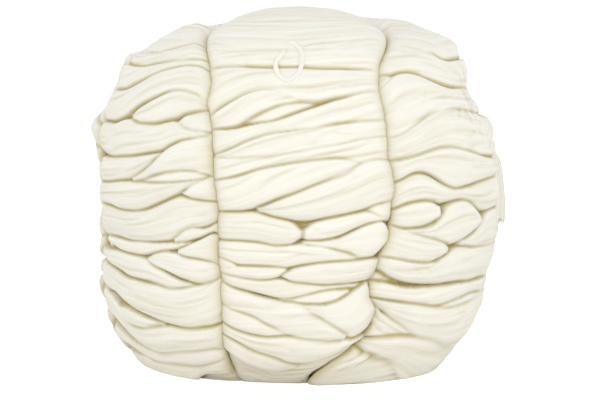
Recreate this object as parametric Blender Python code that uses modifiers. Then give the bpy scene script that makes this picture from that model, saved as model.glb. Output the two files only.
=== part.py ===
"""Wool roving: a bump of combed wool, wound in turns and drawn in by three tie loops.

Metres, +Z up, standing on z = 0, with the front at -Y. The wool is one solid: turns of roving lie
one above the other around an upright axis, and six upright grooves, two to each tie, draw them in
to six lobes. The ties lie at the bottom of the grooves and cross on the axis, above and below.
A place on the wool is given by its lobe, by how far across the lobe it is (0 to 1) and by its tape:
the distance down the wound core, from the middle of its top to the middle of its underside.
"""

import math

import bmesh
import bpy
import numpy as np

MM = 0.001

# The wound core, on which the ties lie: a squarish turned shape, its lower half fuller.
CORE_RADIUS = 0.190
CORE_MIDDLE = 0.174
CORE_DEPTH_ABOVE = 0.170
CORE_DEPTH_BELOW = 0.161
CORE_SQUARENESS_ABOVE = 3.2
CORE_SQUARENESS_BELOW = 4.8
CORE_SAMPLES = 1401
CORNER_SOFTENING = 20

# The winding axis stands here, so that the whole is centred on x = y = 0.
WINDING_AXIS = (-0.0013, 0.0)

# How the wool swells between two ties, and the room at the bottom of a groove.
LOBE_SWELL = 0.030
SHOULDER_WIDTH = 0.029
SHOULDER_SQUARENESS = 2.4
GROOVE_ROOM = 0.0034

# The grooves: name, then azimuth in degrees at each of the tapes above them, in millimetres.
# Azimuth 0 is the front, and +90 is +X.
GROOVE_TAPES = (0, 100, 130, 165, 190, 215, 245, 277, 307, 342, 363, 391, 417, 437, 461, 500, 620)
GROOVES = (
    ("front_left", -48, -43, -37.5, -31.5, -28, -25.2, -23, -21.5, -21, -21, -20.5, -20.3, -21, -21.5, -21.5, -20, -16),
    ("front_right", 48, 44, 37.5, 29.5, 26, 24.8, 24.8, 25.7, 24.5, 22, 20.2, 20, 18, 14, 9.5, 6.5, 7),
    ("right", 104, 104, 104, 103.5, 103, 103, 103, 102.5, 102, 102, 102, 102.5, 103, 103, 103, 103, 104),
    ("back_right", 132, 143, 146, 150, 152, 155, 155, 156, 157, 158, 158, 159, 160, 160, 161, 161, 164),
    ("back_left", 224, 216, 214, 211, 209, 207, 207, 207, 208, 206, 204, 202, 199, 198, 197, 196, 191),
    ("left", 284, 283, 283, 282, 281, 281, 281, 282, 282, 282, 283, 283, 284, 284, 284, 284, 284),
)

# The ties: name, the grooves that it goes up and down in, and its place in each crossing.
TIES = (
    ("tie_front_left", "front_left", "back_right", 0),
    ("tie_front_right", "front_right", "back_left", 1),
    ("tie_side", "left", "right", 2),
)
TIE_THICKNESS = 0.0035
TIE_GAP = 0.0008
TIE_STEPS = 56
TIE_CROSSING_REACH = 0.026

# Where a lobe stands out or in from its even swell, in degrees and millimetres:
# azimuth, tape, spread either way around, spread along the tape, height.
SWELLS = (
    (-84, 140, 16, 20, 14),
    (-90, 233, 12, 15, 12),
    (-80, 480, 22, 45, 9),
    (78, 150, 18, 18, 12),
    (86, 207, 18, 18, -9),
    (84, 240, 14, 18, 4),
    (88, 470, 20, 55, -4),
    (-80, 104, 26, 22, 11),
)

# The turns of each lobe, from the top down. A row is one turn's lower edge: its tape in
# millimetres at the three places across the lobe, then how deep its crease is, 0 to 1.
EDGES_FRONT = (
    (40, 38, 40, 0.3),
    (80, 78, 80, 0.3),
    (120, 118, 114, 0.3),
    (156, 156, 148, 0.4),
    (173, 174, 175, 0.9),
    (213, 199, 192, 0.7),
    (225, 209, 216, 0.6),
    (240, 230, 222, 0.2),
    (259, 252, 240, 0.2),
    (290, 279, 256, 1.0),
    (298, 302, 293, 1.2),
    (327, 326, 341, 1.1),
    (349, 346, 349, 0.9),
    (363, 365, 367, 0.9),
    (374, 382, 384, 1.0),
    (410, 413, 418, 1.2),
    (428, 438, 430, 1.0),
    (476, 486, 480, 0.5),
    (548, 550, 548, 0.3),
)
EDGES_RIGHT = (
    (38, 38, 40, 0.3),
    (78, 78, 82, 0.3),
    (116, 116, 124, 0.3),
    (150, 156, 168, 0.4),
    (172, 178, 191, 0.6),
    (199, 198, 208, 0.5),
    (222, 211, 221, 0.6),
    (239, 236, 241, 0.4),
    (253, 260, 263, 0.4),
    (262, 283, 276, 1.0),
    (294, 298, 306, 0.9),
    (318, 316, 315, 0.9),
    (324, 343, 343, 1.1),
    (350, 361, 362, 0.9),
    (371, 382, 380, 1.1),
    (391, 399, 400, 0.8),
    (422, 434, 436, 1.1),
    (444, 456, 468, 0.6),
    (540, 545, 550, 0.3),
)
EDGES_LEFT = (
    (40, 38, 40, 0.3),
    (80, 78, 80, 0.3),
    (124, 120, 116, 0.3),
    (162, 156, 146, 0.5),
    (184, 170, 165, 0.6),
    (206, 193, 190, 0.9),
    (219, 219, 211, 1.0),
    (252, 245, 227, 0.8),
    (282, 270, 258, 0.5),
    (307, 296, 273, 1.2),
    (315, 305, 288, 0.8),
    (350, 347, 328, 1.2),
    (360, 363, 358, 0.8),
    (371, 379, 375, 1.0),
    (393, 398, 390, 0.6),
    (413, 416, 411, 1.2),
    (436, 438, 431, 0.9),
    (462, 466, 464, 0.6),
    (545, 545, 545, 0.3),
)


def turned_round(edges):
    """The same turns as seen from the other side of the bump."""
    return tuple((right, middle, left, depth) for left, middle, right, depth in edges)


# One lobe for each groove, lying between it and the next one: the edges of its turns, the
# places across the lobe that they are given at, its columns of faces, and how much higher it
# crowns on top than its even swell.
LOBES = (
    (EDGES_FRONT, (0.15, 0.50, 0.85), 12, 0.013),
    (EDGES_RIGHT, (0.10, 0.27, 0.48), 14, 0.002),
    (turned_round(EDGES_LEFT), (0.15, 0.50, 0.85), 10, -0.008),
    (turned_round(EDGES_FRONT), (0.15, 0.50, 0.85), 10, -0.004),
    (turned_round(EDGES_RIGHT), (0.30, 0.60, 0.90), 14, -0.006),
    (EDGES_LEFT, (0.15, 0.50, 0.85), 12, 0.002),
)
CREASE_DEPTH = 0.013
FULL_TURN_HEIGHT = 0.026
ROWS_PER_TURN = 4
TURNS = len(EDGES_FRONT) + 1

# The wisp that lies curled on top of the front lobe, and the trailing end of the roving at the
# right. Their points are azimuth in degrees, tape, and distance clear of the wool, in millimetres,
# with the width of the loose end there.
WISP_THICKNESS = 0.005
WISP_LOBE = 0
WISP_SMOOTHING = 4
WISP_POINTS = (
    (-3.5, 150, 0.8),
    (-0.9, 152, 1.0),
    (1.3, 161, 1.2),
    (1.1, 172, 1.2),
    (-0.4, 180, 1.2),
    (-3.0, 184, 1.2),
    (-5.6, 179, 1.2),
    (-6.6, 170, 1.0),
    (-5.4, 162, 0.8),
)
END_THICKNESS = 0.003
END_LOBE = 1
END_COLUMNS = 6
END_POINTS = (
    (80, 262, 0.8, 30),
    (80, 280, 1.2, 36),
    (81, 300, 3.0, 35),
    (82, 318, 5.0, 31),
    (82, 334, 6.5, 26),
)


def core_outline():
    """Tape, radius, height and outward normal (radius part, height part) down the wound core."""
    angle = np.linspace(math.pi / 2, -math.pi / 2, 6001)
    above = angle >= 0
    squareness = np.where(above, CORE_SQUARENESS_ABOVE, CORE_SQUARENESS_BELOW)
    depth = np.where(above, CORE_DEPTH_ABOVE, CORE_DEPTH_BELOW)
    radius = CORE_RADIUS * np.clip(np.cos(angle), 0, None) ** (2 / squareness)
    rise = depth * np.abs(np.sin(angle)) ** (2 / squareness)
    height = CORE_MIDDLE + np.sign(angle) * rise
    steps = np.hypot(np.diff(radius), np.diff(height))
    run = np.concatenate([[0.0], np.cumsum(steps)])
    tape = np.linspace(0.0, run[-1], CORE_SAMPLES)
    radius = np.interp(tape, run, radius)
    height = np.interp(tape, run, height)
    normal_r = softened(-np.gradient(height, tape))
    normal_z = softened(np.gradient(radius, tape))
    length = np.hypot(normal_r, normal_z)
    return tape, radius, height, normal_r / length, normal_z / length


def softened(values):
    """A running mean, so that the normals turn evenly round the core's corners."""
    window = 2 * CORNER_SOFTENING + 1
    padded = np.pad(values, CORNER_SOFTENING, mode="edge")
    return np.convolve(padded, np.full(window, 1 / window), "valid")


CORE = core_outline()
TAPE_LENGTH = CORE[0][-1]


def core_at(tape):
    """Radius, height and outward normal of the wound core."""
    return [np.interp(tape, CORE[0], values) for values in CORE[1:]]


def groove_azimuth(groove, tape):
    """Azimuth in radians of a groove, which leans one way and the other on its way down."""
    return np.radians(np.interp(tape / MM, GROOVE_TAPES, GROOVES[groove][1:]))


def lobe_azimuths(lobe, tape):
    """Azimuths of a lobe's two grooves, the second one always the larger."""
    start = groove_azimuth(lobe, tape)
    end = groove_azimuth((lobe + 1) % len(GROOVES), tape)
    return start, np.where(end < start, end + 2 * math.pi, end)


def swell_of(lobe, azimuth, tape, normal_z):
    """How far a lobe stands out at its fullest, with its crown and the uneven places."""
    crown = LOBES[lobe][3]
    height = LOBE_SWELL + crown * np.clip(normal_z, 0, 1) ** 1.5
    for at, at_tape, around, along, rise in SWELLS:
        off = (np.degrees(azimuth) - at + 180) % 360 - 180
        height = height + rise * MM * np.exp(-((off / around) ** 2) - ((tape / MM - at_tape) / along) ** 2)
    return height


def edge_tapes(lobe, across):
    """Tape of every turn's edge at this place across the lobe, with both ends of the tape."""
    edges, places = LOBES[lobe][:2]
    inner = [np.interp(across, places, row[:3]) * MM for row in edges]
    return np.array([0.0] + inner + [TAPE_LENGTH])


def groove_tapes(groove):
    """Tape of every turn's edge in a groove: midway between its two lobes."""
    before = edge_tapes(groove - 1, 1.0)
    return (before + edge_tapes(groove, 0.0)) / 2


def all_tapes(lobe, across):
    """Tape of every turn's edge, eased into the grooves that both lobes share."""
    tapes = edge_tapes(lobe, across)
    first, _, last = LOBES[lobe][1]
    if across < first:
        share = across / first
        return groove_tapes(lobe) * (1 - share) + tapes * share
    if across > last:
        share = (1 - across) / (1 - last)
        return groove_tapes((lobe + 1) % len(LOBES)) * (1 - share) + tapes * share
    return tapes


def crease_depths(lobe):
    """Depth of the crease at every edge, with none at the two ends of the tape."""
    return np.array([0.0] + [row[3] for row in LOBES[lobe][0]] + [0.0]) * CREASE_DEPTH


def over_core(lobe, azimuth, tape, sunk=0.0, clear=0.0):
    """A place on a lobe's even swell, sunk by a crease's depth or standing clear of the wool."""
    start, end = lobe_azimuths(lobe, tape)
    radius, height, normal_r, normal_z = core_at(tape)
    width = (end - start) * radius
    half = max(0.5 * width - groove_room(width), 1e-6)
    inward = half - abs(azimuth - (start + end) / 2) * radius
    shoulder = min(SHOULDER_WIDTH, half)
    rounding = unit_arc(1 - min(max(inward / shoulder, 0), 1))
    fullness = rounding * shoulder / SHOULDER_WIDTH
    out = fullness * (swell_of(lobe, azimuth, tape, normal_z) - sunk) + clear
    return place(azimuth, radius + out * normal_r, max(height + out * normal_z, 0.0))


def groove_room(width):
    """Half the floor of a groove; near the axis a lobe is too narrow for the whole of it."""
    return min(GROOVE_ROOM, 0.3 * width)


def unit_arc(run):
    """Height of a squarish quarter round at this run from its top."""
    return (1 - run**SHOULDER_SQUARENESS) ** (1 / SHOULDER_SQUARENESS)


def wool_point(lobe, across, tape, sunk):
    """A point on the wool, at this part of the way from one groove's wall to the next one's."""
    start, end = lobe_azimuths(lobe, tape)
    wall = groove_room((end - start) * core_at(tape)[0]) / max((end - start) * core_at(tape)[0], 1e-6)
    azimuth = start + (end - start) * (wall + (1 - 2 * wall) * across)
    return over_core(lobe, azimuth, tape, sunk)


def place(azimuth, radius, height):
    """World position of an azimuth, a distance from the winding axis and a height."""
    x = WINDING_AXIS[0] + radius * math.sin(azimuth)
    y = WINDING_AXIS[1] - radius * math.cos(azimuth)
    return (x, y, height)


def turn_at(tapes, depths, row):
    """Tape of a row of points, and how deep it lies in the creases beside its turn."""
    turn, step = divmod(row, ROWS_PER_TURN)
    if turn == TURNS:
        return TAPE_LENGTH, 0.0
    part = step / ROWS_PER_TURN
    upper, lower = tapes[turn], tapes[turn + 1]
    height = lower - upper
    roundness = 1 - math.sqrt(1 - (1 - 2 * part) ** 2)
    depth = depths[turn] * (1 - part) + depths[turn + 1] * part
    return upper + height * part, depth * roundness * min(1.0, height / FULL_TURN_HEIGHT)


def column_places():
    """(lobe, place across it) of every column of points; None across is a groove's middle."""
    columns = []
    for lobe, (_, _, count, _) in enumerate(LOBES):
        columns.append((lobe, None))
        inner = count - 2
        for step in range(inner + 1):
            columns.append((lobe, 0.5 - 0.5 * math.cos(math.pi * step / inner)))
    return columns


def add_piece(name, mesh_data, colour, roughness):
    """A named object with its own material, in the bump's collection."""
    material = bpy.data.materials.new(name)
    material.use_nodes = True
    shader = material.node_tree.nodes["Principled BSDF"]
    shader.inputs["Base Color"].default_value = (*colour, 1.0)
    shader.inputs["Roughness"].default_value = roughness
    shader.inputs["Metallic"].default_value = 0.0
    piece = bpy.data.objects.new(name, mesh_data)
    piece.data.materials.append(material)
    bump.objects.link(piece)
    return piece


def build_wool():
    """The wound wool: a sphere's grid of points, each one moved to its place on a turn."""
    columns = column_places()
    rows = TURNS * ROWS_PER_TURN
    grid = bmesh.new()
    bmesh.ops.create_uvsphere(grid, u_segments=len(columns), v_segments=rows, radius=1.0)
    tapes = [all_tapes(lobe, 0.0 if across is None else across) for lobe, across in columns]
    for vertex in grid.verts:
        polar = math.acos(max(-1.0, min(1.0, vertex.co.z)))
        row = round(polar / math.pi * rows)
        turn = math.atan2(vertex.co.x, -vertex.co.y) % (2 * math.pi)
        column = round(turn / (2 * math.pi) * len(columns)) % len(columns)
        lobe, across = columns[column]
        tape, sunk = turn_at(tapes[column], crease_depths(lobe), row)
        if across is None:
            radius, height = core_at(tape)[:2]
            vertex.co = place(groove_azimuth(lobe, tape), radius, height)
        else:
            vertex.co = wool_point(lobe, across, tape, sunk)
    bmesh.ops.recalc_face_normals(grid, faces=grid.faces)
    mesh = bpy.data.meshes.new("wool_body")
    grid.to_mesh(mesh)
    grid.free()
    mesh.shade_smooth()
    return add_piece("wool_body", mesh, (0.93, 0.91, 0.84), 0.9)


def groove_number(name):
    return [row[0] for row in GROOVES].index(name)


def tie_lift(tape, order):
    """Height of a tie's middle above the core: on the wool, and over the ties it crosses."""
    radius = core_at(tape)[0]
    near = max(0.0, 1 - radius / TIE_CROSSING_REACH)
    blend = near * near * (3 - 2 * near)
    return TIE_THICKNESS / 2 + TIE_GAP + order * (TIE_THICKNESS + TIE_GAP) * min(1.0, 1.6 * blend)


def tie_points(up_groove, down_groove, order):
    """Round the bump: up one groove from the underside, over the top and down the other."""
    points = []
    for groove, tapes in (
        (up_groove, np.linspace(TAPE_LENGTH, 0.0, TIE_STEPS, endpoint=False)),
        (down_groove, np.linspace(0.0, TAPE_LENGTH, TIE_STEPS, endpoint=False)),
    ):
        for tape in tapes:
            radius, height, normal_r, normal_z = core_at(tape)
            lift = tie_lift(tape, order)
            azimuth = groove_azimuth(groove, tape)
            points.append(place(azimuth, radius + lift * normal_r, height + lift * normal_z))
    return points


def round_strand(name, points, thickness, sides, closed):
    """A tube along the points, with filled ends where it is open."""
    curve = bpy.data.curves.new(name, "CURVE")
    curve.dimensions = "3D"
    curve.bevel_depth = thickness / 2
    curve.bevel_resolution = sides // 2 - 2
    curve.use_fill_caps = not closed
    spline = curve.splines.new("POLY")
    spline.points.add(len(points) - 1)
    for target, point in zip(spline.points, points):
        target.co = (*point, 1.0)
    spline.use_cyclic_u = closed
    return curve


def build_ties():
    for name, up_name, down_name, order in TIES:
        points = tie_points(groove_number(up_name), groove_number(down_name), order)
        curve = round_strand(name, points, TIE_THICKNESS, 6, True)
        add_piece(name, curve, (0.86, 0.82, 0.70), 0.85)


def smooth_route(points, between):
    """A smooth curve through the points, with this many steps between each two."""
    padded = [2 * points[0] - points[1], *points, 2 * points[-1] - points[-2]]
    route = []
    for before, start, end, after in zip(padded, padded[1:], padded[2:], padded[3:]):
        for step in range(between):
            part = step / between
            route.append(
                start
                + 0.5 * part * (end - before)
                + part**2 * (before - 2.5 * start + 2 * end - 0.5 * after)
                + 0.5 * part**3 * (3 * (start - end) + after - before)
            )
    return route + [points[-1]]


def build_wisp():
    lift = WISP_THICKNESS / 2
    points = [
        np.array(over_core(WISP_LOBE, math.radians(azimuth), tape * MM, 0.0, clear * MM + lift))
        for azimuth, tape, clear in WISP_POINTS
    ]
    curve = round_strand("wisp", smooth_route(points, WISP_SMOOTHING), WISP_THICKNESS, 8, False)
    add_piece("wisp", curve, (0.94, 0.92, 0.86), 0.9)


def build_loose_end():
    """A strip from a flat grid: its rows go down the tape, and its columns across its width."""
    grid = bmesh.new()
    rows = len(END_POINTS) - 1
    bmesh.ops.create_grid(grid, x_segments=END_COLUMNS, y_segments=rows, size=0.5)
    for vertex in grid.verts:
        azimuth, tape, clear, width = END_POINTS[round((0.5 - vertex.co.y) * rows)]
        around = vertex.co.x * width * MM / CORE_RADIUS
        stand_off = clear * MM + END_THICKNESS / 2
        vertex.co = over_core(END_LOBE, math.radians(azimuth) + around, tape * MM, 0.0, stand_off)
    bmesh.ops.recalc_face_normals(grid, faces=grid.faces)
    mesh = bpy.data.meshes.new("loose_end")
    grid.to_mesh(mesh)
    grid.free()
    piece = add_piece("loose_end", mesh, (0.94, 0.92, 0.86), 0.9)
    thickness = piece.modifiers.new("Thickness", "SOLIDIFY")
    thickness.thickness = END_THICKNESS
    thickness.offset = 0.0
    thickness.use_even_offset = True


for old in list(bpy.data.objects):
    bpy.data.objects.remove(old, do_unlink=True)
bump = bpy.data.collections.new("wool_roving")
bpy.context.scene.collection.children.link(bump)
build_wool()
build_ties()
build_wisp()
build_loose_end()
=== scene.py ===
import math

import bpy
import numpy as np
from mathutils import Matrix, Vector


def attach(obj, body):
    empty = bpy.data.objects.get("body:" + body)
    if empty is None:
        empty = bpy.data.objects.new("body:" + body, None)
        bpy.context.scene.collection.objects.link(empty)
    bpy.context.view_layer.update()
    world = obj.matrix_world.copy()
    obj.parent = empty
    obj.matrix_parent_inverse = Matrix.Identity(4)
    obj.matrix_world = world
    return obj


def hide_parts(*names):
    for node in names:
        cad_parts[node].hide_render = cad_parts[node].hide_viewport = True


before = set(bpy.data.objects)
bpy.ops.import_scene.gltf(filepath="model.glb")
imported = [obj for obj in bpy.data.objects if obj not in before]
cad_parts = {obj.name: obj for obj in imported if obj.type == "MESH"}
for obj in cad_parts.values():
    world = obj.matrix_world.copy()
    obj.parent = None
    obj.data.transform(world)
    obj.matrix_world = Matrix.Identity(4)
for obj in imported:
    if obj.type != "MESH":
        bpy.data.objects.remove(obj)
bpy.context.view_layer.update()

bpy.ops.object.select_all(action="DESELECT")

# The bump stands square to the front, looked at from a little above the middle of its height.
CAMERA_AIM = Vector((0.0011, 0.0, 0.1702))
CAMERA_DISTANCE = 1.9
CAMERA_RISE = math.radians(6.5)
CAMERA_LEVEL = 0.178
CAMERA_LENS = 102.7
CAMERA_FILM = 36.0
camera_out, camera_up = CAMERA_DISTANCE * math.cos(CAMERA_RISE), CAMERA_DISTANCE * math.sin(CAMERA_RISE)
camera_place = Vector((0.0, -camera_out, CAMERA_LEVEL + camera_up))
bpy.ops.object.camera_add(location=camera_place)
camera = bpy.context.object
camera.rotation_euler = (CAMERA_AIM - camera_place).to_track_quat("-Z", "Y").to_euler()
camera.data.lens = CAMERA_LENS
camera.data.sensor_width = CAMERA_FILM
bpy.context.scene.camera = camera

# The wound wool's even form, which every piece below lies on: a squarish core, swollen between
# six grooves to six lobes. It is combed top, wound in turns around an upright axis. A place on it
# is a lobe, how far across it (0 to 1), and the tape, the distance down from the top's middle.
MM = 0.001
CORE_RADIUS = 0.190
CORE_MIDDLE = 0.174
CORE_DEPTH_ABOVE, CORE_DEPTH_BELOW = 0.170, 0.161
CORE_SQUARENESS_ABOVE, CORE_SQUARENESS_BELOW = 3.2, 4.8
CORE_SAMPLES = 1401
CORNER_SOFTENING = 20
WINDING_AXIS = (-0.0013, 0.0)
LOBE_SWELL = 0.030
LOBE_CROWNS = (0.012, 0.001, -0.008, -0.004, -0.006, 0.002)
# How broad the lobes' shoulders are at each groove and over each lobe's top, and how much of the
# swell is left at a groove, down the sides and over the top.
SIDE_SHOULDERS = (0.012, 0.012, 0.024, 0.029, 0.029, 0.020)
TOP_SHOULDERS = (0.060, 0.020, 0.029, 0.029, 0.029, 0.034)
TOP_TAPES = (0.100, 0.165)
SHOULDER_SQUARENESS = 2.1
SIDE_FILLS, TOP_FILL = (0.82, 0.82, 0.80, 0.70, 0.70, 0.80), 0.35
GROOVE_ROOM = 0.0034
GROOVE_TAPES = (0, 100, 130, 165, 190, 215, 245, 277, 307, 342, 363, 391, 417, 437, 461, 500, 620)
GROOVES = (
    (-48, -43, -37.5, -31.5, -28, -25.2, -23, -21.5, -21, -21, -20.5, -20.3, -21, -21.5, -21.5, -20, -16),
    (48, 44, 37.5, 29.5, 26, 24.8, 24.8, 25.7, 24.5, 22, 20.2, 20, 18, 14, 9.5, 6.5, 7),
    (104, 104, 104, 103.5, 103, 103, 103, 102.5, 102, 102, 102, 102.5, 103, 103, 103, 103, 104),
    (132, 143, 146, 150, 152, 155, 155, 156, 157, 158, 158, 159, 160, 160, 161, 161, 164),
    (224, 216, 214, 211, 209, 207, 207, 207, 208, 206, 204, 202, 199, 198, 197, 196, 191),
    (284, 283, 283, 282, 281, 281, 281, 282, 282, 282, 283, 283, 284, 284, 284, 284, 284),
)
# How far the lobes lean over the two front grooves at the surface, in degrees at these tapes.
LEAN_TAPES = (
    100, 130, 150, 170, 185, 202, 218, 245, 262, 285, 325,
    345, 363, 380, 392, 407, 418, 430, 440, 452, 468, 500,
)
LEANS = (
    (-4.5, -3.5, 0, 2.3, 2.8, 0.5, 1.2, 0, -0.5, 0.1, -0.4,
     -0.4, -0.1, 0, 0, -0.1, -0.1, 0, 0.1, -0.1, -0.2, 0),
    (4.5, 3, 0, -2.7, -2.5, -1.4, -0.2, -0.4, 0.1, 0.3, 1,
     0, -0.7, -1, 1, 1.4, 0.6, 0, -3, -5, -5.5, 0),
)
# Where a lobe stands out or in from its even swell: azimuth in degrees and tape, how far round and
# along, and how far out, in millimetres.
SWELLS = (
    (-62, 112, 20, 20, 4), (82, 108, 20, 18, 4), (-86, 171, 16, 13, 11), (-90, 233, 12, 15, 12),
    (-88, 320, 18, 70, -4), (-80, 480, 22, 45, 6), (-50, 466, 25, 14, 8), (50, 466, 25, 14, 8),
    (78, 150, 18, 18, 6), (84, 198, 20, 20, -20), (84, 244, 14, 14, -3), (84, 305, 15, 34, 4),
    (80, 405, 20, 50, -12), (80, 462, 22, 22, -10),
)


def softened(values, reach):
    """A running mean, this many values either way."""
    padded = np.pad(values, reach, mode="edge")
    return np.convolve(padded, np.full(2 * reach + 1, 1 / (2 * reach + 1)), "valid")


def core_outline():
    """Tape, radius, height and outward normal down the wound core."""
    angle = np.linspace(math.pi / 2, -math.pi / 2, 6001)
    above = angle >= 0
    squareness = np.where(above, CORE_SQUARENESS_ABOVE, CORE_SQUARENESS_BELOW)
    depth = np.where(above, CORE_DEPTH_ABOVE, CORE_DEPTH_BELOW)
    radius = CORE_RADIUS * np.clip(np.cos(angle), 0, None) ** (2 / squareness)
    height = CORE_MIDDLE + np.sign(angle) * depth * np.abs(np.sin(angle)) ** (2 / squareness)
    run = np.concatenate([[0.0], np.cumsum(np.hypot(np.diff(radius), np.diff(height)))])
    tape = np.linspace(0.0, run[-1], CORE_SAMPLES)
    radius = np.interp(tape, run, radius)
    height = np.interp(tape, run, height)
    normal_r = softened(-np.gradient(height, tape), CORNER_SOFTENING)
    normal_z = softened(np.gradient(radius, tape), CORNER_SOFTENING)
    length = np.hypot(normal_r, normal_z)
    return tape, radius, height, normal_r / length, normal_z / length


CORE = core_outline()
TAPE_LENGTH = CORE[0][-1]


def core_at(tape):
    """Radius, height and outward normal of the wound core."""
    return [np.interp(tape, CORE[0], values) for values in CORE[1:]]


def groove_azimuth(groove, tape, deep=True):
    """Azimuth in radians of a groove at its bottom, or where the lobes meet over a front one."""
    azimuth = np.radians(np.interp(np.asarray(tape) / MM, GROOVE_TAPES, GROOVES[groove]))
    if deep or groove >= len(LEANS):
        return azimuth
    return azimuth + np.radians(np.interp(np.asarray(tape) / MM, LEAN_TAPES, LEANS[groove]))


def lobe_azimuths(lobe, tape, deep=False):
    """Azimuths of a lobe's two grooves, the second one always the larger."""
    start = groove_azimuth(lobe, tape, deep)
    end = groove_azimuth((lobe + 1) % len(GROOVES), tape, deep)
    return start, np.where(end < start, end + 2 * math.pi, end)


def swell_of(lobe, azimuth, tape, normal_z):
    """How far a lobe stands out at its fullest, with its crown and the uneven places."""
    height = LOBE_SWELL + LOBE_CROWNS[lobe] * np.clip(normal_z, 0, 1) ** 1.5
    for at, at_tape, around, along, rise in SWELLS:
        off = (np.degrees(azimuth) - at + 180) % 360 - 180
        height = height + rise * MM * np.exp(-((off / around) ** 2) - ((tape / MM - at_tape) / along) ** 2)
    return height


def place(azimuth, radius, height):
    """Points from azimuths, distances from the winding axis and heights."""
    x = WINDING_AXIS[0] + radius * np.sin(azimuth)
    y = WINDING_AXIS[1] - radius * np.cos(azimuth)
    return np.stack(np.broadcast_arrays(x, y, height), axis=-1)


def over_core(lobe, azimuth, tape, sunk=0.0, clear=0.0, reach=0.0):
    """Places on a lobe, sunk below its even swell, clear of it, or reaching into the grooves."""
    start, end = lobe_azimuths(lobe, tape)
    radius, height, normal_r, normal_z = core_at(tape)
    width = (end - start) * radius
    half = np.maximum(0.5 * width - np.minimum(GROOVE_ROOM, 0.3 * width) + reach, 1e-6)
    inward = half - np.abs(azimuth - (start + end) / 2) * radius
    part = np.clip((azimuth - start) / np.maximum(end - start, 1e-6), 0, 1)
    top = np.clip((TOP_TAPES[1] - tape) / (TOP_TAPES[1] - TOP_TAPES[0]), 0, 1)
    top = top * top * (3 - 2 * top)

    def between(values, over_top):
        value = values[lobe] * (1 - part) + values[(lobe + 1) % len(GROOVES)] * part
        return value + top * (over_top - value)

    broad, fill = between(SIDE_SHOULDERS, TOP_SHOULDERS[lobe]), between(SIDE_FILLS, TOP_FILL)
    shoulder = np.minimum(broad, half)
    run = 1 - np.clip(inward / shoulder, 0, 1)
    rounding = (1 - run**SHOULDER_SQUARENESS) ** (1 / SHOULDER_SQUARENESS)
    out = (fill + (1 - fill) * rounding) * shoulder / broad
    out = out * (swell_of(lobe, azimuth, tape, normal_z) - sunk) + clear
    return place(azimuth, radius + out * normal_r, np.maximum(height + out * normal_z, 0.0))


def across_lobe(lobe, across, tape, reach=0.0, deep=False):
    """Azimuths at this part of the way from one groove's wall to the next one's."""
    start, end = lobe_azimuths(lobe, tape, deep)
    width = np.maximum((end - start) * core_at(tape)[0], 1e-6)
    wall = (np.minimum(GROOVE_ROOM, 0.3 * width) - reach) / width
    return start + (end - start) * (wall + (1 - 2 * wall) * across)


def coordinates(mesh):
    """The mesh's points as an array."""
    points = np.empty(len(mesh.vertices) * 3)
    mesh.vertices.foreach_get("co", points)
    return points.reshape(-1, 3)


def plain_floats(values):
    """Values in one row, as a mesh takes them."""
    return np.ascontiguousarray(values, dtype=np.float32).ravel()


def sphere_blank(name, sides, rings):
    """A sphere to be drawn out into strands, with each point's run round it and along it."""
    bpy.ops.mesh.primitive_uv_sphere_add(segments=sides, ring_count=rings, radius=1.0)
    blank = bpy.context.object
    blank.name = name
    bpy.ops.object.shade_smooth()
    points = coordinates(blank.data)
    along = np.round(np.arccos(np.clip(points[:, 2], -1, 1)) / math.pi * rings) / rings
    around = np.round(np.arctan2(points[:, 1], points[:, 0]) / (2 * math.pi) * sides) / sides % 1
    return blank, along, around


def drawn_out(blank, name, points, length, girth, offset):
    """A copy of a blank with its points moved, and its UV map in metres along and round."""
    piece = blank.copy()
    piece.data = blank.data.copy()
    piece.name = name
    bpy.context.collection.objects.link(piece)
    piece.data.vertices.foreach_set("co", plain_floats(points))
    layer = piece.data.uv_layers[0].uv
    flat = np.empty(len(layer) * 2, dtype=np.float32)
    layer.foreach_get("vector", flat)
    flat = flat.reshape(-1, 2)
    unrolled = np.stack([flat[:, 1] * length + offset, flat[:, 0] * girth + offset * 0.37], axis=1)
    layer.foreach_set("vector", plain_floats(unrolled))
    piece.data.update()
    return piece


def joined(pieces, name, material):
    """Several pieces as one, under one name and of one material, with its normals outwards."""
    bpy.ops.object.select_all(action="DESELECT")
    for piece in pieces:
        piece.select_set(True)
    bpy.context.view_layer.objects.active = pieces[0]
    if len(pieces) > 1:
        bpy.ops.object.join()
    whole = bpy.context.object
    whole.name = name
    whole.data.name = name
    bpy.ops.object.mode_set(mode="EDIT")
    bpy.ops.mesh.select_all(action="SELECT")
    bpy.ops.mesh.normals_make_consistent(inside=False)
    bpy.ops.object.mode_set(mode="OBJECT")
    bpy.ops.object.select_all(action="DESELECT")
    whole.data.materials.clear()
    whole.data.materials.append(material)
    return whole


def feed(tree, node, inputs):
    """Give a shader node's inputs, each a value or the socket that feeds it."""
    for name, given in inputs.items():
        if isinstance(given, bpy.types.NodeSocket):
            tree.links.new(given, node.inputs[name])
        else:
            node.inputs[name].default_value = given


def add_node(tree, kind, inputs, **settings):
    """A new shader node, with its settings and then its inputs."""
    node = tree.nodes.new("ShaderNode" + kind)
    for name, setting in settings.items():
        setattr(node, name, setting)
    feed(tree, node, inputs)
    return node


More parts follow.
